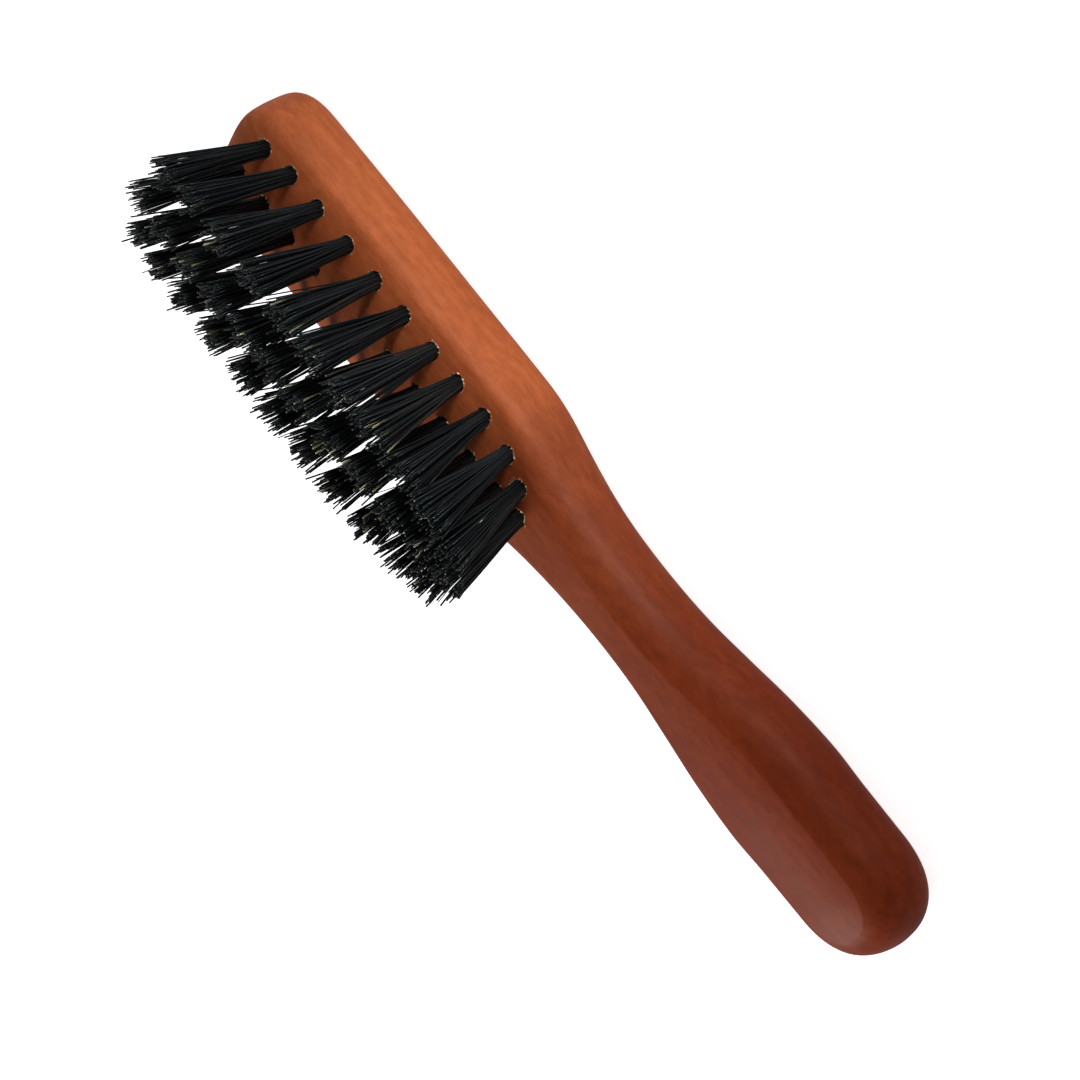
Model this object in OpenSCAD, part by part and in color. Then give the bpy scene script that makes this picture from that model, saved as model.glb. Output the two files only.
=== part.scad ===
// Beard brush: a one-piece pearwood body with a flat back, a crowned bristle
// face and a round-ended handle, set with 34 tufts of boar bristle.
//
// Frame, in mm: the brush lies on its flat back (z = 0) with the bristles up.
// +X runs toward the tip of the head and +Y to its left, seen with the bristles up.
// The origin is on the back, half way along the wood.
// A "station" is a distance from the tip of the head, measured back along X.

/* [Overall] */

// length of the wooden body
body_len = 135; // [110:1:170]
// thickness of the head at the crown of the bristle face
head_t = 11.2; // [9:0.1:15]
// thickness of the handle against the head
grip_gain = 1.08; // [0.9:0.01:1.2]
// radius of the crowned top, across the brush
crown_r = 21.6; // [15:0.1:60]

/* [Outline] */

// width of the head at its widest
head_w = 21.1; // [16:0.1:28]
// width of the neck at its narrowest
neck_w = 11.7; // [9:0.1:16]
// width of the handle at its widest
grip_w = 18.4; // [14:0.1:24]
// length of the rounding at the tip of the head
tip_len = 9.4; // [5:0.1:14]
// fullness of the tip, 2 is a plain ellipse
tip_power = 2.75; // [2:0.05:4]
// length of the rounding at the end of the handle
butt_len = 9.7; // [5:0.1:14]
// fullness of the handle's end
butt_power = 2.2; // [2:0.05:4]

/* [Tufts] */

// diameter of a tuft where it leaves the wood
tuft_d = 2.4; // [1.8:0.1:4]
// diameter of a tuft at its cut end
tip_d = 4.6; // [2.4:0.1:7]
// length of bristle above the wood, in the middle of the head
bristle_len = 16.3; // [8:0.1:25]
// how much shorter the bristles are at both ends of the head
end_trim = 0.8; // [0:0.1:3]
// depth of the blind holes
hole_depth = 6; // [3:0.1:8]
// distance of the outer rows from the centre line
row_y = 6.4; // [4:0.1:8]
// outward lean of the outer rows, in degrees
row_lean = 1.2; // [0:0.1:10]

/* [Anchors] */

// length of the flat wire anchor across its hole
anchor_w = 2.9; // [2.5:0.05:4]
// thickness of the anchor
anchor_t = 0.4; // [0.2:0.05:0.8]
// height of the anchor
anchor_h = 2.2; // [1:0.1:4]

/* [Hidden] */

// how far a tuft keeps its root diameter above the middle of its hole
collar = 0.45;
// clear bottom under each anchor
anchor_lift = 0.4;

// Half widths of the plan outline: [station, half width]
outline = [
    [0, head_w / 2],
    [14, head_w / 2],
    [26, head_w / 2 - 0.1],
    [40, head_w / 2 - 0.35],
    [50, head_w / 2 - 0.5],
    [56, head_w / 2 - 0.7],
    [60, head_w / 2 - 1.3],
    [65, head_w / 2 - 2.55],
    [70, neck_w / 2 + 1.1],
    [76, neck_w / 2 + 0.3],
    [83, neck_w / 2],
    [90, neck_w / 2 + 0.35],
    [97, neck_w / 2 + 1.45],
    [104, grip_w / 2 - 0.7],
    [112, grip_w / 2],
    [118, grip_w / 2 - 0.25],
    [body_len, grip_w / 2 - 0.5]
];

// Edge profiles of the head and of the handle, back to face: [inset, height].
// Both have the same number of points, so one can be blended into the other.
head_edge = [
    [2.6, 0], [1.61, 0.2], [0.76, 0.76], [0.2, 1.6], [0, 2.6], [0.05, 4.5],
    [0.2, 6.3], [0.45, 7.85], [0.75, 8.6], [1.25, 9.15], [1.9, 9.53]
];
grip_edge = [
    [4.2, 0], [2.6, 0.3], [1.23, 1.23], [0.32, 2.6], [0, 4.2], [0.1, 5.6],
    [0.45, 7], [1.1, 8.3], [1.9, 9.2], [2.7, 9.8], [3.5, 10.22]
];
edge_t = 11.2;
face_in = head_edge[10][0];
face_z = head_edge[10][1] * head_t / edge_t;

// The crown is drawn as rings that shrink onto the centre line.
crown_rings = [0.85, 0.68, 0.5, 0.3, 0.12];

// Tufts of each row, tip to neck: [station, y, lean toward the tip in degrees]
near_row = [
    [7.2, 0.4 - row_y, 7], [12.4, -0.15 - row_y, 6], [18.2, -0.1 - row_y, 4],
    [24.5, -0.1 - row_y, 2.5], [30.6, -row_y, 0], [36.5, -row_y, -1.5],
    [42.5, 0.1 - row_y, -2.5], [47.8, 0.3 - row_y, -4], [53.4, 0.45 - row_y, -8],
    [58.9, 1.2 - row_y, -9], [63, 3.1 - row_y, -12.5]
];
mid_row = [
    [5.8, 0, 6.5], [11.4, 0, 6], [16.9, 0, 5], [22.3, 0, 4], [27.7, 0, 2],
    [33, 0, 0.5], [38.4, 0, -2], [44.2, 0, -4], [49.6, 0, -5.5],
    [55.2, 0, -8], [60.7, 0, -10], [65.2, 0, -11]
];
far_row = [
    [7.2, row_y - 0.7, 5.5], [12, row_y, 6], [17.7, row_y, 5.5],
    [23.7, row_y, 4], [29.8, row_y, 1.5], [35.8, row_y, -1],
    [41.6, row_y, -1.5], [47.3, row_y - 0.2, -5], [52.9, row_y - 0.4, -7.5],
    [58.5, row_y - 0.9, -9.5], [63, row_y - 2.5, -11]
];
rows = [near_row, mid_row, far_row];
row_names = ["near", "mid", "far"];
tufts = [for (r = rows) each r];

function two(i) = str(i < 10 ? "0" : "", i);
function tuft_name(r, i) = str("tuft_", row_names[r], "_", two(i + 1));

wood = [0.55, 0.27, 0.15];
bristle = [0.1, 0.11, 0.12];
wire = [0.75, 0.72, 0.66];

// ---- shape of the wood ----

// Smooth curve through a table of [station, value] pairs.
function slope_at(t, i) =
    i == 0 || i == len(t) - 1 ? 0
    : (t[i + 1][1] - t[i - 1][1]) / (t[i + 1][0] - t[i - 1][0]);
function seg_at(t, s, i = 0) =
    i >= len(t) - 2 || s < t[i + 1][0] ? i : seg_at(t, s, i + 1);
function curve(t, s) =
    let (
        i = seg_at(t, s),
        h = t[i + 1][0] - t[i][0],
        u = (s - t[i][0]) / h,
        a = (2 * u ^ 3 - 3 * u ^ 2 + 1) * t[i][1],
        b = (u ^ 3 - 2 * u ^ 2 + u) * h * slope_at(t, i),
        c = (3 * u ^ 2 - 2 * u ^ 3) * t[i + 1][1],
        d = (u ^ 3 - u ^ 2) * h * slope_at(t, i + 1)
    ) a + b + c + d;

// 0 to 1 over a rounded end, then 1.
function end_cap(u, p) = u >= 1 ? 1 : (1 - (1 - u) ^ p) ^ (1 / p);
function half_w(s) =
    curve(outline, s) * end_cap(s / tip_len, tip_power)
    * end_cap((body_len - s) / butt_len, butt_power);

// 1 over the head, 0 over the handle.
function headness(s) =
    let (u = 1 - min(1, max(0, (s - 54) / 22))) u * u * (3 - 2 * u);
function mix(a, b, k) = a * k + b * (1 - k);
// Station of the point on the centre line that a ring shrinks onto.
function spine(s) = min(max(s, tip_len), body_len - butt_len);

stations = [
    for (i = [0:9]) tip_len * (1 - cos(i * 9)),
    for (i = [0:41]) tip_len + (body_len - butt_len - tip_len) * i / 42,
    for (i = [0:10]) body_len - butt_len * (1 - sin(i * 9))
];
last = len(stations) - 1;
widths = [for (s = stations) max(0, half_w(s))];

// Inward direction of the outline at each station, as [along, across].
function inward(i) =
    i == 0 ? [1, 0] : i == last ? [-1, 0]
    : let (
        ds = stations[i + 1] - stations[i - 1],
        dw = widths[i + 1] - widths[i - 1]
    ) [dw, -ds] / norm([ds, dw]);
inwards = [for (i = [0:last]) inward(i)];

// One point of an edge ring: [station, half width, height].
function edge_point(i, k) =
    let (
        s = stations[i],
        h = headness(s),
        d = mix(head_edge[k][0], grip_edge[k][0], h),
        gain = head_t / edge_t * mix(1, grip_gain, h),
        z = mix(head_edge[k][1], grip_edge[k][1], h) * gain
    ) [s + inwards[i][0] * d, max(0, widths[i] + inwards[i][1] * d), z];
function crown_rise(i) =
    let (y = edge_point(round(min(max(i, 10), last - 10)), 10)[1]) y * y / 2 / crown_r;
function crown_point(i, lam) =
    let (e = edge_point(i, 10), c = spine(stations[i]))
    [c + (e[0] - c) * lam, e[1] * lam, e[2] + crown_rise(i) * (1 - lam * lam)];

edge_rings = [for (k = [0:10]) [for (i = [0:last]) edge_point(i, k)]];
top_rings = [for (lam = crown_rings) [for (i = [0:last]) crown_point(i, lam)]];
half_rings = concat(edge_rings, top_rings);

// A half ring is mirrored into a closed loop of 2 * last points.
function full_ring(h) = [
    for (p = h) [body_len / 2 - p[0], -p[1], p[2]],
    for (i = [last - 1:-1:1]) [body_len / 2 - h[i][0], h[i][1], h[i][2]]
];
n = 2 * last;
count = len(half_rings);
points = [for (h = half_rings) each full_ring(h)];
sides = [
    for (k = [0:count - 2]) for (i = [0:n - 1])
        let (a = k * n + i, b = k * n + (i + 1) % n)
        each [[a, a + n, b + n], [a, b + n, b]]
];
// The flat back is one polygon, and the strip along the crown is closed across.
back = [[for (i = [0:n - 1]) i]];
top = (count - 1) * n;
strip = [
    [top, top + n - 1, top + 1],
    for (i = [1:last - 2]) [top + i, top + n - i, top + n - i - 1, top + i + 1],
    [top + last - 1, top + last + 1, top + last]
];

module blank() {
    polyhedron(points, concat(sides, back, strip), convexity = 6);
}

// ---- tufts ----

// Height of the bristle face at a station and a distance from the centre line.
function face_at(s, y) =
    let (
        w = curve(outline, max(s, tip_len)) - face_in,
        over = max(0, tip_len - s) / (tip_len - face_in),
        h = headness(s),
        low = mix(head_edge[10][1], grip_edge[10][1] * grip_gain, h) * head_t / edge_t
    ) low + w * w / 2 / crown_r * (1 - (y / w) ^ 2 - over ^ 2);
function side_lean(t) = -sign(t[1]) * row_lean;
function tuft_root(t) = [body_len / 2 - t[0], t[1], face_at(t[0], t[1])];
// Length of a tuft, which is trimmed shorter over the last 12 mm of each end.
function tuft_len(t) =
    let (end = max(0, 15 - t[0], t[0] - 55) / 12)
    bristle_len - end_trim * end;
function tuft_tip(t) =
    let (l = side_lean(t), f = t[2])
    tuft_root(t) + tuft_len(t) * [sin(f) * cos(l), -sin(l), cos(f) * cos(l)];
// Neighbouring tufts are kept just clear of each other at their ends.
function tip_radius(t) =
    let (gaps = [for (o = tufts) if (o != t) norm(tuft_tip(o) - tuft_tip(t))])
    min(tip_d / 2, min(gaps) / 2 - 0.06);

module on_tuft(t) {
    translate(tuft_root(t)) rotate([side_lean(t), t[2], 0]) children();
}

module anchor(t) {
    on_tuft(t)
        translate([-anchor_t / 2, -anchor_w / 2, anchor_lift - hole_depth])
            cube([anchor_t, anchor_w, anchor_h]);
}

module tuft(t) {
    color(bristle) difference() {
        on_tuft(t) {
            translate([0, 0, -hole_depth])
                cylinder(h = hole_depth + collar, d = tuft_d, $fn = 48);
            translate([0, 0, collar])
                cylinder(
                    h = tuft_len(t) - collar, r1 = tuft_d / 2, r2 = tip_radius(t),
                    $fn = 48
                );
        }
        anchor(t);
    }
}

module tuft_hole(t) {
    on_tuft(t)
        translate([0, 0, -hole_depth])
            cylinder(h = hole_depth + 3, d = tuft_d, $fn = 48);
}

module body() {
    color(wood) difference() {
        blank();
        for (t = tufts) {
            tuft_hole(t);
            anchor(t);
        }
    }
}

module anchors(row) {
    color(wire) for (t = row) anchor(t);
}

body();
for (r = [0:2]) {
    for (i = [0:len(rows[r]) - 1])
        tuft(rows[r][i]);
    anchors(rows[r]);
}
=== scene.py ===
"""Beard brush: pearwood body, 34 tufts of boar bristle, chipped hole rims.

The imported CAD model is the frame.  The wood is redrawn as a fine smooth mesh
from the same dimensions as the CAD, with the same holes cut in it, and each
tuft is redrawn bristle by bristle along its own CAD solid.  Lengths are in
millimetres until mesh_object() or cutter() turns them into metres, except
those of the camera, the lamps and the materials, which are in metres.

Along the brush, a station is a distance from the tip of the head.
"""

import math
import random

import bmesh
import bpy
import numpy as np
from mathutils import Matrix, Vector
from mathutils.bvhtree import BVHTree


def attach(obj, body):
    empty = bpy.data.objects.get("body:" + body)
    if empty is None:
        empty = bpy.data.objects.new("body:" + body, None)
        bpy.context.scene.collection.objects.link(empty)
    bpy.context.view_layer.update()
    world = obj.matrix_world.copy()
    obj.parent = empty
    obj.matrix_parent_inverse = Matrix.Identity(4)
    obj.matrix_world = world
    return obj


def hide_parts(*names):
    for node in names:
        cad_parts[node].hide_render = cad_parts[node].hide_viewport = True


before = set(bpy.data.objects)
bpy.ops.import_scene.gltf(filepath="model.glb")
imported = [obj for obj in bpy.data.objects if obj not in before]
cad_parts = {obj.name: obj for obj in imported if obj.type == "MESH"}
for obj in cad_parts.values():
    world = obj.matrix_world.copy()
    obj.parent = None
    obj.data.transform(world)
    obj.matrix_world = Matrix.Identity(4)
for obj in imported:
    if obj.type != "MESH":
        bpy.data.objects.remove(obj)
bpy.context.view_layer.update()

MM = 0.001
ANY_WAY = 6.28        # radians: the end of the range of random directions

# ---- dimensions of the wood, as in the CAD ----

BODY_LEN = 135.0
CROWN_R = 21.6        # radius of the bristle face, across the brush
GRIP_GAIN = 1.08      # heights of the handle, against those of its edge profile
HEAD_HALF = 10.55
NECK_HALF = 5.85
GRIP_HALF = 9.2
HEAD_END, GRIP_START = 54, 76    # the head's edge profile turns to the handle's between
TIP_LEN, TIP_POWER = 9.4, 2.75
BUTT_LEN, BUTT_POWER = 9.7, 2.2

# Plan outline: (station, half width)
OUTLINE = (
    (0, HEAD_HALF),
    (14, HEAD_HALF),
    (26, HEAD_HALF - 0.1),
    (40, HEAD_HALF - 0.35),
    (50, HEAD_HALF - 0.5),
    (56, HEAD_HALF - 0.7),
    (60, HEAD_HALF - 1.3),
    (65, HEAD_HALF - 2.55),
    (70, NECK_HALF + 1.1),
    (76, NECK_HALF + 0.3),
    (83, NECK_HALF),
    (90, NECK_HALF + 0.35),
    (97, NECK_HALF + 1.45),
    (104, GRIP_HALF - 0.7),
    (112, GRIP_HALF),
    (118, GRIP_HALF - 0.25),
    (BODY_LEN, GRIP_HALF - 0.5),
)

# Edge profiles from the back up to the face: (inset, height)
HEAD_EDGE = (
    (2.6, 0), (1.61, 0.2), (0.76, 0.76), (0.2, 1.6), (0, 2.6), (0.05, 4.5),
    (0.2, 6.3), (0.45, 7.85), (0.75, 8.6), (1.25, 9.15), (1.9, 9.53),
)
GRIP_EDGE = (
    (4.2, 0), (2.6, 0.3), (1.23, 1.23), (0.32, 2.6), (0, 4.2), (0.1, 5.6),
    (0.45, 7), (1.1, 8.3), (1.9, 9.2), (2.7, 9.8), (3.5, 10.22),
)

# ---- fineness of the wood's mesh ----

END_SECTIONS = 30     # over each round end
LONG_SECTIONS = 190   # between the ends
EDGE_RINGS = 56
CROWN_RINGS = 22
HOLE_SIDES = 56
SHARP_ANGLE = 38      # degrees: a steeper edge is shown sharp

# ---- worn rims of the holes ----

PROBE = 4.0           # height over a tuft's origin from which the face is looked for
LIP_MEAN = 0.15       # width of a worn lip
LIP_LEAN = 0.06       # more than that on its worst side, and less across from it
LIP_WAVE = 0.055      # size of its random waves
LIP_MIN, LIP_MAX = 0.03, 0.34
CHIP_SIDE = -1.75     # angle about a hole at which most chips stand
CHIPS = (14, 22)      # fewest and most round one hole
CHIP_STEPS = 3
CHIP_ROOT = 0.06      # a chip starts this far under the face

# ---- tufts ----

ROWS = (("near", 11, 1.13), ("mid", 12, 1.12), ("far", 11, 1.08))    # name, tufts, fan
TUFT_R = 1.2          # radius of a blind hole and of the tuft's root
HOLE_DEPTH = 6.0
FOLD_X = 0.34         # the halves of a tuft pass this far from the anchor's middle
FOLD_Z = -5.8         # and under the anchor at this depth below the face
FAN_Y = 1.95          # half width of a tuft's cut end, across the brush
FAN_X = 2.2           # the same along the brush, by the tip of the head
FAN_X_RISE = 0.9      # more than that over the rest of the head
FAN_X_FALL = 0.35     # and this much less again by the neck
CLUMPS = 9            # points in a tuft's cut end that its bristles lean toward
CLUMP_PULL = 0.28     # share of the way to one of them that a bristle leans

FOLDED = 38           # folded bristles in one tuft, each showing both its ends
BRISTLE_R = 0.13      # mean radius of one bristle
BRISTLE_SIDES = 6
BRISTLE_STEPS = 7     # from the face of the wood to a bristle's end
END_TAPER = 0.16      # a bristle is thinner by this share at its ends
LENGTH_NOISE = 0.38   # standard deviation of the bristles' lengths
ODD_SHARE = 0.16      # of the bristle ends are longer or shorter besides
STRAY_SHARE = 0.09    # of the bristles stand apart from the others
WISP_SHARE = 0.04     # of the bristles are thin and bent
SPREAD, LOOSE_SPREAD = 0.26, 0.62    # scatter of the ends of plain and other bristles
BEND = 0.16           # standard deviation of the bow of a bristle
GOLDEN_ANGLE = 2.39996

# ---- colours ----

WOOD_DARK = (0.38, 0.086, 0.025)
WOOD_MID = (0.46, 0.113, 0.034)
WOOD_PALE = (0.53, 0.142, 0.045)

# Tone over the wood's colour from the head (0) to the handle (1), part held tone,
# part painted shade, and the two places on X, in metres, between which it changes.
HELD_AND_SHADED_FROM, HELD_AND_SHADED_TO = 0.016, -0.04
HELD_TONES_AND_PAINTED_SHADE = (
    (0, (1, 1, 1)),
    (0.07, (0.94, 0.92, 0.92)),
    (0.18, (0.67, 0.6, 0.61)),
    (0.4, (0.62, 0.49, 0.46)),
    (0.7, (0.56, 0.37, 0.28)),
    (1, (0.52, 0.3, 0.2)),
)

# ---- light ----

SKY_GLOW = 0.23       # of the world above the brush
FLOOR_GLOW = 0.41     # of the world below it, as from a pale table
SKY_COLOUR = (1, 0.9, 0.95, 1)
# name, place, aim, side of the square, spread in degrees, power in watts
LAMPS = (
    ("head_light", (0.05, -0.348, 0.03), (0.02, 0, 0.006), 0.08, 28, 0.026),
    ("far_light", (-0.19, 0.45, 0.36), (-0.01, 0, 0.006), 0.4, 180, 2.9),
    ("ridge_light", (0.245, -0.41, 0.375), (0.01, 0, 0.006), 0.4, 180, 0.3),
)

# ---- camera ----

CAMERA_AZIMUTH = -107.884        # degrees from +X toward +Y
CAMERA_ELEVATION = 37.98
CAMERA_ROLL = -117.613
CAMERA_LENS, CAMERA_SENSOR = 95.75, 36
CAMERA_AIM = (0, 0, 0.006)       # inside the middle of the brush
CAMERA_PLACE = (-0.00207, -0.00273, 0.36)    # from there, along the camera's own axes


# ---------------------------------------------------------------- helpers

def hermite(table, s):
    """Smooth curve through (station, value) pairs, at every station in s."""
    kx = np.array([t[0] for t in table], float)
    ky = np.array([t[1] for t in table], float)
    slope = np.zeros(len(kx))
    slope[1:-1] = (ky[2:] - ky[:-2]) / (kx[2:] - kx[:-2])
    i = np.clip(np.searchsorted(kx, s, side="right") - 1, 0, len(kx) - 2)
    h = kx[i + 1] - kx[i]
    u = (s - kx[i]) / h
    return (
        (2 * u**3 - 3 * u**2 + 1) * ky[i]
        + (u**3 - 2 * u**2 + u) * h * slope[i]
        + (3 * u**2 - 2 * u**3) * ky[i + 1]
        + (u**3 - u**2) * h * slope[i + 1]
    )


def smoothstep(x, low, high):
    """0 below low, 1 above high and a smooth rise between."""
    u = np.clip((x - low) / (high - low), 0, 1)
    return u * u * (3 - 2 * u)


def catmull(points, t):
    """Catmull-Rom curve through points, at parameters t from 0 to len - 1."""
    p = np.array(points, float)
    p = np.vstack([2 * p[0] - p[1], p, 2 * p[-1] - p[-2]])
    i = np.clip(np.floor(t).astype(int), 0, len(points) - 2)
    u = (t - i)[:, None]
    a, b, c, d = p[i], p[i + 1], p[i + 2], p[i + 3]
    return 0.5 * (
        2 * b + (c - a) * u + (2 * a - 5 * b + 4 * c - d) * u**2
        + (3 * b - 3 * c + d - a) * u**3
    )


def mesh_object(name, verts, faces, smooth=True):
    """A mesh object from millimetre points, in the row frame."""
    mesh = bpy.data.meshes.new(name)
    mesh.from_pydata([tuple(v * MM for v in p) for p in verts], [], faces)
    mesh.validate()
    mesh.polygons.foreach_set("use_smooth", [smooth] * len(mesh.polygons))
    obj = bpy.data.objects.new(name, mesh)
    bpy.context.scene.collection.objects.link(obj)
    return obj


def loft_faces(base, rings, sides):
    """Faces of a closed tube whose rings of points are numbered from base."""
    faces = []
    for k in range(rings - 1):
        for m in range(sides):
            a, b = base + k * sides + m, base + k * sides + (m + 1) % sides
            faces.append((a, b, b + sides, a + sides))
    end = base + (rings - 1) * sides
    faces.append(tuple(base + m for m in reversed(range(sides))))
    faces.append(tuple(end + m for m in range(sides)))
    return faces


# ---------------------------------------------------------------- the wood

def end_cap(u, power):
    """0 to 1 over a rounded end, then 1."""
    return (1 - np.clip(1 - u, 0, 1) ** power) ** (1 / power)


def half_width(s):
    """Half width of the plan at the stations s."""
    return (
        hermite(OUTLINE, s)
        * end_cap(s / TIP_LEN, TIP_POWER)
        * end_cap((BODY_LEN - s) / BUTT_LEN, BUTT_POWER)
    )


def headness(s):
    """1 over the head, falling smoothly to 0 over the handle."""
    return smoothstep(1 - (s - HEAD_END) / (GRIP_START - HEAD_END), 0, 1)


def section_stations():
    """Stations of the body's sections, closer together over its round ends."""
    a = np.linspace(0, math.pi / 2, END_SECTIONS)
    tip = TIP_LEN * (1 - np.cos(a))
    straight = np.linspace(TIP_LEN, BODY_LEN - BUTT_LEN, LONG_SECTIONS)[1:-1]
    butt = BODY_LEN - BUTT_LEN * (1 - np.sin(a))
    return np.concatenate([tip, straight, butt])


def inward(s, w):
    """Unit steps into the plan, square to its outline, as (along, across)."""
    ds, dw = np.gradient(s), np.gradient(w)
    ds[0], dw[0] = 0, 1
    ds[-1], dw[-1] = 0, -1
    size = np.hypot(ds, dw)
    return dw / size, -ds / size


def edge_rings(s):
    """Rings of the rounded edge, from the back up to the face."""
    w = half_width(s)
    in_s, in_w = inward(s, w)
    h = headness(s)
    gain = h + GRIP_GAIN * (1 - h)
    t = np.linspace(0, len(HEAD_EDGE) - 1, EDGE_RINGS)
    rings = []
    for (d1, z1), (d2, z2) in zip(catmull(HEAD_EDGE, t), catmull(GRIP_EDGE, t)):
        inset = d1 * h + d2 * (1 - h)
        z = np.maximum((z1 * h + z2 * (1 - h)) * gain, 0)
        rings.append((s + in_s * inset, np.maximum(w + in_w * inset, 0), z))
    return rings


def crown_rings(s, edge):
    """Rings of the crowned face, from its edge nearly in to its middle line."""
    se, we, ze = edge
    spine = np.clip(s, TIP_LEN, BODY_LEN - BUTT_LEN)
    first = np.searchsorted(s, TIP_LEN)
    end = np.searchsorted(s, BODY_LEN - BUTT_LEN - 1e-6)
    at = np.clip(np.arange(len(s)), first, end)
    rise = we[at] ** 2 / 2 / CROWN_R
    return [
        (spine + (se - spine) * share, we * share, ze + rise * (1 - share * share))
        for share in np.linspace(1, 0.03, CROWN_RINGS)[1:]
    ]


def half_rings():
    """Rings of the body from the back to the crown, as (x, half width, z)."""
    s = section_stations()
    rings = edge_rings(s)
    rings += crown_rings(s, rings[-1])
    return [(BODY_LEN / 2 - station, w, z) for station, w, z in rings]


def wood_mesh():
    """The closed wooden blank, without its holes."""
    verts, faces = [], []
    rings = half_rings()
    last = len(rings[0][0]) - 1
    n = 2 * last
    for x, y, z in rings:
        verts += [(x[i], -y[i], z[i]) for i in range(last + 1)]
        verts += [(x[i], y[i], z[i]) for i in range(last - 1, 0, -1)]
    for k in range(len(rings) - 1):
        for i in range(n):
            a, b = k * n + i, k * n + (i + 1) % n
            faces.append((a, a + n, b + n, b))
    # The flat back and the line of the crown are closed by strips across the brush.
    for base, flip in ((0, False), ((len(rings) - 1) * n, True)):
        strip = [(base, base + 1, base + n - 1)]
        strip += [
            (base + i, base + i + 1, base + n - i - 1, base + n - i)
            for i in range(1, last - 1)
        ]
        strip.append((base + last - 1, base + last, base + last + 1))
        faces += [tuple(reversed(f)) for f in strip] if flip else strip
    return verts, faces


def build_wood(tufts, tree, verts, faces, wood_mat, raw_mat):
    """The body with its 34 blind holes, raw inside."""
    obj = mesh_object("wood_body", verts, faces)
    obj.data.materials.append(wood_mat)
    obj.data.materials.append(raw_mat)
    holes = cutter(tufts, tree)
    bpy.context.scene.collection.objects.link(holes)
    holes.data.materials.append(raw_mat)
    mod = obj.modifiers.new("holes", "BOOLEAN")
    mod.operation, mod.solver, mod.object = "DIFFERENCE", "EXACT", holes
    mod.material_mode = "TRANSFER"
    deps = bpy.context.evaluated_depsgraph_get()
    cut = bpy.data.meshes.new_from_object(obj.evaluated_get(deps))
    obj.modifiers.clear()
    obj.data = cut
    bpy.data.objects.remove(holes)
    cut.name = "wood_body"
    cut.polygons.foreach_set("use_smooth", [True] * len(cut.polygons))
    cut.set_sharp_from_angle(angle=math.radians(SHARP_ANGLE))
    return obj


# ---------------------------------------------------------------- tufts' places

def fan_along(station, row_fan):
    """Half width of a tuft's cut end along the brush."""
    fan = (FAN_X + FAN_X_RISE * smoothstep(station, 4, 32)) * row_fan
    return fan - FAN_X_FALL * smoothstep(station, 56, 66)


class Tuft:
    """Where a tuft stands, measured on its CAD solid.

    The solid's two flat ends are discs, whose middles give the axis.  Each
    round of the loop finds the discs again, square to a better axis.  The
    tuft's own frame has its origin where the axis leaves the wood, +Z along
    the bristles and +X toward the tip of the head.
    """

    def __init__(self, node, row_fan):
        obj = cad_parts[node]
        v = np.array([tuple(obj.matrix_world @ p.co) for p in obj.data.vertices]) / MM
        z = v[:, 2]
        axis = v[z > z.max() - 1].mean(0) - v[z < z.min() + 1].mean(0)
        for _ in range(3):
            axis /= np.linalg.norm(axis)
            t = v @ axis
            top, foot = v[t > t.max() - 0.03], v[t < t.min() + 0.03]
            axis = (top.max(0) + top.min(0) - foot.max(0) - foot.min(0)) / 2
        self.node = node
        self.length = np.linalg.norm(axis) - HOLE_DEPTH
        z_way = Vector(axis).normalized()
        y_way = z_way.cross(Vector((1, 0, 0))).normalized()
        x_way = y_way.cross(z_way)
        self.turn = Matrix((x_way, y_way, z_way)).transposed()
        self.origin = Vector((foot.max(0) + foot.min(0)) / 2) + z_way * HOLE_DEPTH
        self.fan_x = fan_along(BODY_LEN / 2 - self.origin.x, row_fan)

    def out(self, x, y, z):
        """A point of the tuft's frame in the row frame."""
        return self.origin + self.turn @ Vector((x, y, z))

    def face_height(self, tree, x, y):
        """How far the wood's face is above the tuft's origin, at (x, y)."""
        start = self.out(x, y, PROBE)
        hit = tree.ray_cast(start, -self.turn.col[2])[0]
        return 0 if hit is None else PROBE - (start - hit).length


# ---------------------------------------------------------------- holes and rims

def lip_width(rng):
    """A random, smooth width of the worn lip, as a function of the angle.

    On the whole it is widest on the side where most of the chips stand.
    """
    waves = [(k, rng.uniform(0, ANY_WAY), rng.uniform(0.3, 1) / k**0.6) for k in range(1, 9)]

    def width(a):
        wave = sum(amp * math.sin(k * a + phase) for k, phase, amp in waves)
        return LIP_MEAN + LIP_LEAN * math.cos(a + 1.6) + LIP_WAVE * wave

    return lambda a: min(max(width(a), LIP_MIN), LIP_MAX)


def cutter(tufts, tree):
    """All the blind holes as one mesh, each with a worn, uneven lip."""
    bm = bmesh.new()
    for tuft in tufts:
        width = lip_width(random.Random(tuft.node))
        loops = [[] for _ in range(5)]
        for a in [2 * math.pi * k / HOLE_SIDES for k in range(HOLE_SIDES)]:
            c, d, w = math.cos(a), math.sin(a), width(a)
            h = tuft.face_height(tree, c * (TUFT_R + 0.08), d * (TUFT_R + 0.08))
            # bottom, foot of the lip, middle of the lip, its edge, clear of the wood
            profile = (
                (TUFT_R, -HOLE_DEPTH), (TUFT_R, h - 0.14), (TUFT_R + w * 0.5, h - 0.06),
                (TUFT_R + w, h + 0.04), (TUFT_R + w + 0.1, 2.0),
            )
            for loop, (r, z) in zip(loops, profile):
                loop.append(bm.verts.new(tuft.out(r * c, r * d, z) * MM))
        for lo, hi in zip(loops, loops[1:]):
            for k in range(HOLE_SIDES):
                m = (k + 1) % HOLE_SIDES
                bm.faces.new((lo[k], lo[m], hi[m], hi[k]))
        bm.faces.new(list(reversed(loops[0])))
        bm.faces.new(loops[-1])
    mesh = bpy.data.meshes.new("cutter")
    bm.to_mesh(mesh)
    bm.free()
    return bpy.data.objects.new("cutter", mesh)


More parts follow.
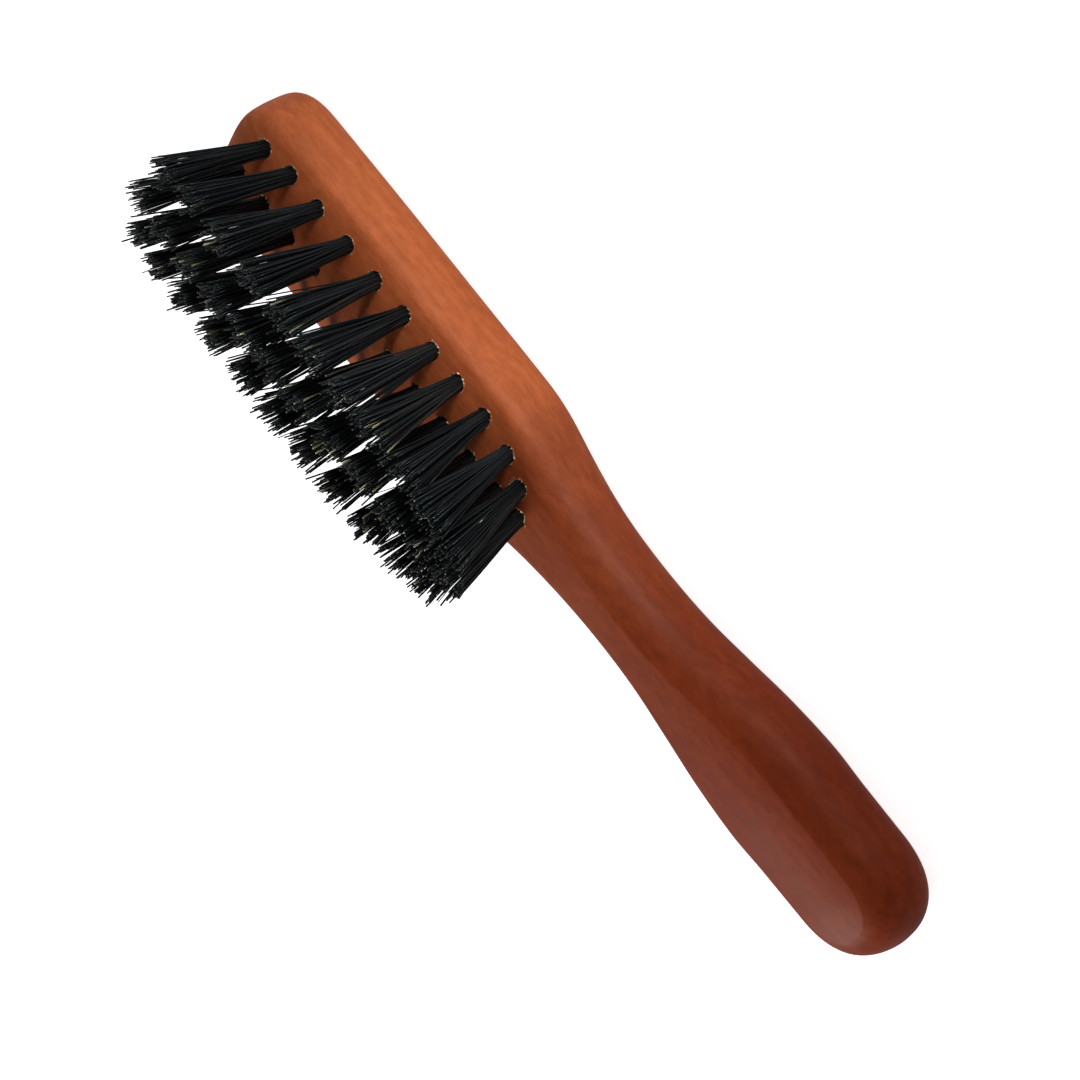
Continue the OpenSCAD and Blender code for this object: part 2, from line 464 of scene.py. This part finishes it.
def chip_points(rng, tuft, tree):
    """One flake of raw wood: four corners at each step along the lip."""
    a = rng.gauss(CHIP_SIDE, 0.95) if rng.random() < 0.8 else rng.uniform(0, ANY_WAY)
    r = TUFT_R + rng.uniform(0.06, 0.26)
    face = tuft.face_height(tree, r * math.cos(a), r * math.sin(a))
    along = rng.uniform(0.08, 0.3)
    high = rng.uniform(0.05, 0.3)
    lean = rng.uniform(-0.1, 0.14)
    thick = rng.uniform(0.03, 0.07)
    points = []
    for k in range(CHIP_STEPS + 1):
        b = a + along / r * (k / CHIP_STEPS - 0.5)
        ragged = rng.uniform(0.35, 1) if 0 < k < CHIP_STEPS else rng.uniform(0, 0.4)
        foot, top = face - CHIP_ROOT, face + high * ragged
        corners = (
            (r, foot),
            (r + thick, foot),
            (r + thick * 0.7 + lean * ragged, top),
            (r + lean * ragged, top),
        )
        points += [tuft.out(rr * math.cos(b), rr * math.sin(b), z) for rr, z in corners]
    return points


def build_rim_chips(tufts, tree, raw_mat):
    """Small torn flakes of raw wood that stand on the lips of the holes."""
    rng = random.Random(7)
    verts, faces = [], []
    for tuft in tufts:
        for _ in range(rng.randint(*CHIPS)):
            faces += loft_faces(len(verts), CHIP_STEPS + 1, 4)
            verts += chip_points(rng, tuft, tree)
    obj = mesh_object("rim_chips", verts, faces, smooth=False)
    obj.data.materials.append(raw_mat)
    return obj


# ---------------------------------------------------------------- bristles

def bristle_kind(dice):
    """A plain bristle, a stray that stands apart, or a thin, bent wisp."""
    if dice < STRAY_SHARE:
        return "stray"
    return "wisp" if dice < STRAY_SHARE + WISP_SHARE else "plain"


def bristle_half(rng, tuft, length, root, pull, kind):
    """Centre line of one half of a folded bristle, from the anchor to its end.

    root is where it leaves the wood, and pull is the point in the tuft's cut
    end that its clump leans toward.
    """
    spread = SPREAD if kind == "plain" else LOOSE_SPREAD
    reach = TUFT_R - BRISTLE_R
    tip = [
        root[0] / reach * (tuft.fan_x - 0.1) * rng.uniform(0.88, 1.06),
        root[1] / reach * (FAN_Y - 0.1) * rng.uniform(0.88, 1.06),
    ]
    tip = [
        t * (1 - CLUMP_PULL) + p * CLUMP_PULL + rng.gauss(0, spread)
        for t, p in zip(tip, pull)
    ]
    length += rng.gauss(0, LENGTH_NOISE)
    if rng.random() < ODD_SHARE:
        length += rng.uniform(-1.6, 1.3)
    bend, way = rng.gauss(0, BEND), rng.uniform(0, ANY_WAY)
    if kind == "wisp":
        bend = rng.uniform(0.5, 1.0)
    side = math.copysign(1, root[0])
    # Up the hole: under the anchor, beside its foot, past its top, under the root.
    path = [
        Vector((side * FOLD_X * 0.55, root[1] * 0.8, FOLD_Z + 0.03)),
        Vector((side * FOLD_X, root[1] * 0.85, -5.4)),
        Vector((side * max(abs(root[0]), FOLD_X), root[1] * 0.9, -3.2)),
        Vector((root[0], root[1], -1.4)),
    ]
    for k in range(BRISTLE_STEPS + 1):
        u = k / BRISTLE_STEPS
        g = u**1.15
        bow = bend * math.sin(math.pi * u) * (0.4 + 0.6 * u)
        path.append(Vector((
            root[0] + (tip[0] - root[0]) * g + bow * math.cos(way),
            root[1] + (tip[1] - root[1]) * g + bow * math.sin(way),
            0.1 + (length - 0.1) * u,
        )))
    return path


def folded_bristle(rng, tuft, length, pair, clumps, kind):
    """Centre line of a whole bristle, from one end round the anchor to the other."""
    halves = []
    for x, y in pair:
        aim = (x * tuft.fan_x / TUFT_R, y * FAN_Y / TUFT_R)
        pull = min(clumps, key=lambda c: math.dist(c, aim))
        halves.append(bristle_half(rng, tuft, length, (x, y), pull, kind))
    middle = Vector((0, (pair[0][1] + pair[1][1]) * 0.4, FOLD_Z))
    return halves[0][::-1] + [middle] + halves[1]


def tube_points(path, radii, tilts):
    """Rings of points round a path, the first and the last cut at a slant."""
    points = []
    last = len(path) - 1
    slants = {0: tilts[0], last: tilts[1]}
    across = Vector((0.2, 0.9, 0.3))
    for k, p in enumerate(path):
        way = (path[min(k + 1, last)] - path[max(k - 1, 0)]).normalized()
        x_way = across.cross(way).normalized()
        y_way = way.cross(x_way)
        slant = slants.get(k, 0)
        for m in range(BRISTLE_SIDES):
            a = 2 * math.pi * m / BRISTLE_SIDES
            off = x_way * math.cos(a) + y_way * math.sin(a) + way * (slant * math.cos(a))
            points.append(p + off * radii[k])
    return points


def paired_roots(rng):
    """Evenly scattered roots in the hole, in pairs on either side of the anchor."""
    roots = []
    turn = rng.uniform(0, ANY_WAY)
    for k in range(2 * FOLDED):
        rad = (TUFT_R - BRISTLE_R) * math.sqrt((k + 0.5) / (2 * FOLDED))
        ang = k * GOLDEN_ANGLE + turn
        roots.append((rad * math.cos(ang), rad * math.sin(ang)))
    roots.sort()
    left, right = roots[:FOLDED], roots[FOLDED:]
    left.sort(key=lambda p: p[1])
    right.sort(key=lambda p: p[1])
    return list(zip(left, right))


def clump_points(rng, tuft):
    """Random points of the tuft's cut end."""
    points = []
    for _ in range(CLUMPS):
        a, r = rng.uniform(0, ANY_WAY), math.sqrt(rng.random())
        points.append((r * tuft.fan_x * math.cos(a), r * FAN_Y * math.sin(a)))
    return points


def build_tuft(tuft, bristle_mat, end_mat):
    """One tuft of folded bristles, held under its anchor and fanned out."""
    rng = random.Random(tuft.node)
    length = tuft.length + rng.uniform(-0.3, 0.1)
    clumps = clump_points(rng, tuft)
    verts, faces, mats, tones, alongs = [], [], [], [], []
    for pair in paired_roots(rng):
        kind = bristle_kind(rng.random())
        path = folded_bristle(rng, tuft, length, pair, clumps, kind)
        rings = len(path)
        size = BRISTLE_R * rng.uniform(0.85, 1.13) * (0.6 if kind == "wisp" else 1)
        tilts = (rng.uniform(-0.8, 0.8), rng.uniform(-0.8, 0.8))
        # 0 at the anchor and 1 at both ends, where the bristle is thinner
        along = [abs(2 * k / (rings - 1) - 1) for k in range(rings)]
        radii = [size * (1 - END_TAPER * u**3) for u in along]
        faces += loft_faces(len(verts), rings, BRISTLE_SIDES)
        verts += tube_points(path, radii, tilts)
        mats += [0] * (rings - 1) * BRISTLE_SIDES + [1, 1]
        tones += [rng.random()] * rings * BRISTLE_SIDES
        alongs += [u for u in along for _ in range(BRISTLE_SIDES)]
    obj = mesh_object("bristles_" + tuft.node[5:], [tuft.out(*p) for p in verts], faces)
    mesh = obj.data
    mesh.materials.append(bristle_mat)
    mesh.materials.append(end_mat)
    mesh.polygons.foreach_set("material_index", mats)
    mesh.polygons.foreach_set("use_smooth", [m == 0 for m in mats])
    for name, values in (("tone", tones), ("along", alongs)):
        mesh.attributes.new(name, "FLOAT", "POINT").data.foreach_set("value", values)
    return obj


# ---------------------------------------------------------------- materials

class Shader:
    """A Principled material, with short ways to add procedural nodes to it.

    Each method that adds a node returns the socket that the node gives out.
    """

    def __init__(self, name):
        self.mat = bpy.data.materials.new(name)
        self.mat.use_nodes = True
        self.nodes = self.mat.node_tree.nodes
        self.link = self.mat.node_tree.links.new

    def feed(self, socket, value):
        """Links another socket to this one, or sets it to plain numbers."""
        if isinstance(value, bpy.types.NodeSocket):
            self.link(value, socket)
        else:
            socket.default_value = value

    def surface(self, values):
        """Feeds the surface's sockets by name, and returns the material."""
        for name, value in values.items():
            self.feed(self.nodes["Principled BSDF"].inputs[name], value)
        return self.mat

    def place(self):
        """The place on the piece, in metres."""
        return self.nodes.new("ShaderNodeTexCoord").outputs["Object"]

    def attribute(self, name):
        """A value that the mesh carries at each of its points."""
        node = self.nodes.new("ShaderNodeAttribute")
        node.attribute_name = name
        return node.outputs["Fac"]

    def noise(self, per_metre, detail=2, rough=0.5):
        """Noise with that many cells to the metre along X, Y and Z."""
        mapping = self.nodes.new("ShaderNodeMapping")
        mapping.inputs["Scale"].default_value = per_metre
        self.link(self.place(), mapping.inputs["Vector"])
        node = self.nodes.new("ShaderNodeTexNoise")
        node.inputs["Scale"].default_value = 1
        node.inputs["Detail"].default_value = detail
        node.inputs["Roughness"].default_value = rough
        self.link(mapping.outputs["Vector"], node.inputs["Vector"])
        return node.outputs["Fac"]

    def ramp(self, value, stops):
        """The colour at value, from stops of (place, colour)."""
        node = self.nodes.new("ShaderNodeValToRGB")
        elements = node.color_ramp.elements
        while len(elements) < len(stops):
            elements.new(0.5)
        for element, (position, colour) in zip(elements, stops):
            element.position = position
            element.color = (*colour, 1)
        self.link(value, node.inputs["Fac"])
        return node.outputs["Color"]

    def rise(self, value, low, high):
        """0 to 1 as value goes from low to high."""
        node = self.nodes.new("ShaderNodeMapRange")
        node.inputs["From Min"].default_value = low
        node.inputs["From Max"].default_value = high
        self.link(value, node.inputs["Value"])
        return node.outputs["Result"]

    def multiply(self, a, b):
        """The product of two values."""
        node = self.nodes.new("ShaderNodeMath")
        node.operation = "MULTIPLY"
        self.link(a, node.inputs[0])
        self.link(b, node.inputs[1])
        return node.outputs[0]

    def mix(self, blend, share, a, b):
        """Colour a with a share of colour b blended over it."""
        node = self.nodes.new("ShaderNodeMix")
        node.data_type, node.blend_type = "RGBA", blend
        for number, value in ((0, share), (6, a), (7, b)):
            self.feed(node.inputs[number], value)
        return node.outputs[2]

    def bump(self, height, strength, distance):
        """A surface direction that follows height."""
        node = self.nodes.new("ShaderNodeBump")
        node.inputs["Strength"].default_value = strength
        node.inputs["Distance"].default_value = distance
        self.link(height, node.inputs["Height"])
        return node.outputs["Normal"]


def held_tone_and_painted_shade(shader):
    """Darkens and reddens the neck and handle: a tone of held wood, with painted shade over it.
    """
    node = shader.nodes.new("ShaderNodeSeparateXYZ")
    shader.link(shader.place(), node.inputs[0])
    return shader.ramp(shader.rise(node.outputs["X"], HELD_AND_SHADED_FROM, HELD_AND_SHADED_TO), HELD_TONES_AND_PAINTED_SHADE)


def wood_material():
    """Oiled pearwood: a broad figure under streaks, mottling and fine pores."""
    shader = Shader("oiled_pearwood")
    figure = shader.noise((28, 90, 90), 3, 0.55)
    streaks = shader.noise((60, 900, 900), 5, 0.6)
    mottling = shader.noise((420, 900, 900), 5, 0.65)
    pores = shader.noise((500, 4200, 4200), 2, 0.5)
    # the noise, the share of its tone, and the tone's two stops
    layers = (
        (streaks, 0.4, (0.35, (0.72, 0.66, 0.62)), (0.62, (1.05, 1.05, 1.05))),
        (mottling, 0.5, (0.36, (0.74, 0.68, 0.64)), (0.64, (1.18, 1.2, 1.22))),
        (pores, 0.35, (0.30, (0.55, 0.48, 0.45)), (0.40, (1, 1, 1))),
    )
    colour = shader.ramp(figure, [(0.3, WOOD_DARK), (0.52, WOOD_MID), (0.75, WOOD_PALE)])
    for noise, share, *stops in layers:
        colour = shader.mix("MULTIPLY", share, colour, shader.ramp(noise, stops))
    return shader.surface({
        # the neck and handle are darkened by painted shade, partly a held wood's tone too
        "Base Color": shader.mix("MULTIPLY", 1.0, colour, held_tone_and_painted_shade(shader)),
        "Normal": shader.bump(streaks, 0.25, 0.00005),
        "Roughness": 0.48,
        "Specular IOR Level": 0.16,
        "Specular Tint": (1, 0.84, 0.72, 1),
    })


def raw_wood_material():
    """Bare torn wood, in the holes and on their chipped rims."""
    shader = Shader("raw_wood")
    grain = shader.noise((2500, 2500, 2500))
    return shader.surface({
        "Base Color": shader.ramp(grain, [(0.38, (0.26, 0.11, 0.05)), (0.58, (0.84, 0.6, 0.38))]),
        "Roughness": 0.85,
    })


def bristle_material():
    """Near-black boar bristle with a cool sheen; a few have pale outer ends."""
    shader = Shader("boar_bristle")
    tone = shader.attribute("tone")
    dark = shader.ramp(tone, [
        (0.0, (0.0025, 0.003, 0.003)),
        (0.55, (0.005, 0.0065, 0.007)),
        (0.95, (0.016, 0.02, 0.02)),
        (1.0, (0.03, 0.02, 0.012)),
    ])
    outer = shader.rise(shader.attribute("along"), 0.9, 0.99)
    few = shader.rise(tone, 0.972, 0.985)
    pale = (0.36, 0.34, 0.17, 1)
    return shader.surface({
        "Base Color": shader.mix("MIX", shader.multiply(outer, few), dark, pale),
        "Roughness": 0.38,
        "Specular IOR Level": 0.3,
        "Specular Tint": (0.78, 1.0, 1.0, 1),
    })


def bristle_end_material():
    """The cut ends: most are dark, and some show a pale core."""
    shader = Shader("bristle_cut_end")
    colour = shader.ramp(shader.attribute("tone"), [
        (0.0, (0.008, 0.008, 0.008)),
        (0.6, (0.02, 0.019, 0.016)),
        (0.9, (0.07, 0.065, 0.05)),
        (1.0, (0.6, 0.56, 0.38)),
    ])
    return shader.surface({"Base Color": colour, "Roughness": 0.6})


def wire_material():
    """Drawn brass wire, faintly mottled."""
    shader = Shader("anchor_wire")
    noise = shader.noise((4000, 4000, 4000))
    return shader.surface({
        "Base Color": shader.ramp(noise, [(0.3, (0.58, 0.46, 0.27)), (0.7, (0.8, 0.68, 0.44))]),
        "Metallic": 1.0,
        "Roughness": 0.35,
    })


# ---------------------------------------------------------------- stage

def build_floor():
    """A plain floor, lit from within so that it stays white."""
    half, z = 3000, -0.05
    corners = [(-half, -half, z), (half, -half, z), (half, half, z), (-half, half, z)]
    floor = mesh_object("floor", corners, [(0, 1, 2, 3)], smooth=False)
    floor.data.materials.append(Shader("floor_white").surface({
        "Base Color": (0.8, 0.8, 0.8, 1),
        "Roughness": 0.9,
        "Specular IOR Level": 0.1,
        "Emission Color": (1, 1, 1, 1),
        "Emission Strength": 0.85,
    }))
    floor.visible_diffuse = floor.visible_glossy = floor.visible_shadow = False


def build_world():
    """The glow of the studio, stronger from the table below than from above.

    The floor itself throws no light and no reflection, so this stands in for it.
    """
    world = bpy.data.worlds.new("studio")
    bpy.context.scene.world = world
    world.use_nodes = True
    nodes, links = world.node_tree.nodes, world.node_tree.links
    coord = nodes.new("ShaderNodeTexCoord")
    height = nodes.new("ShaderNodeSeparateXYZ")
    links.new(coord.outputs["Generated"], height.inputs[0])
    sky = nodes.new("ShaderNodeMapRange")
    sky.interpolation_type = "SMOOTHSTEP"
    for socket, value in zip(sky.inputs[1:5], (-0.35, 0.3, FLOOR_GLOW, SKY_GLOW)):
        socket.default_value = value
    links.new(height.outputs["Z"], sky.inputs["Value"])
    links.new(sky.outputs["Result"], nodes["Background"].inputs["Strength"])
    nodes["Background"].inputs["Color"].default_value = SKY_COLOUR


def build_lamp(name, where, aim, side, spread, power):
    """A square lamp that faces the point it is aimed at."""
    data = bpy.data.lights.new(name, "AREA")
    data.shape, data.size, data.size_y = "RECTANGLE", side, side
    data.spread = math.radians(spread)
    data.energy = power
    lamp = bpy.data.objects.new(name, data)
    lamp.location = where
    lamp.rotation_euler = (Vector(aim) - lamp.location).to_track_quat("-Z", "Y").to_euler()
    bpy.context.scene.collection.objects.link(lamp)


def build_stage():
    """A white floor, the glow of the studio and three soft lamps."""
    bpy.context.scene.view_settings.view_transform = "Standard"
    build_floor()
    build_world()
    for lamp in LAMPS:
        build_lamp(*lamp)


def build_camera():
    """Looks at the brush from the near side, above the handle, rolled."""
    cam = bpy.data.cameras.new("camera")
    cam.sensor_width, cam.lens = CAMERA_SENSOR, CAMERA_LENS
    cam.clip_start, cam.clip_end = 0.02, 20
    turn = (
        Matrix.Rotation(math.radians(CAMERA_AZIMUTH + 90), 3, "Z")
        @ Matrix.Rotation(math.radians(90 - CAMERA_ELEVATION), 3, "X")
        @ Matrix.Rotation(math.radians(CAMERA_ROLL), 3, "Z")
    )
    place = turn.to_4x4()
    place.translation = Vector(CAMERA_AIM) + turn @ Vector(CAMERA_PLACE)
    obj = bpy.data.objects.new("camera", cam)
    obj.matrix_world = place
    bpy.context.scene.collection.objects.link(obj)
    bpy.context.scene.camera = obj


# ---------------------------------------------------------------- build

def main():
    """Builds the studio and every piece of the brush."""
    build_camera()
    build_stage()
    tufts = [
        Tuft(f"tuft_{row}_{i + 1:02d}", fan) for row, count, fan in ROWS for i in range(count)
    ]
    verts, faces = wood_mesh()
    tree = BVHTree.FromPolygons([Vector(v) for v in verts], faces)
    wood, raw = wood_material(), raw_wood_material()
    body = build_wood(tufts, tree, verts, faces, wood, raw)
    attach(body, "root")
    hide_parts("body")
    chips = build_rim_chips(tufts, tree, raw)
    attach(chips, "root")
    bristle, cut_end = bristle_material(), bristle_end_material()
    for tuft in tufts:
        piece = build_tuft(tuft, bristle, cut_end)
        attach(piece, "root")
        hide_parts(tuft.node)
    wire = wire_material()
    for row, _, _ in ROWS:
        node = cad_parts["anchors_" + row]
        node.data.materials.clear()
        node.data.materials.append(wire)


main()
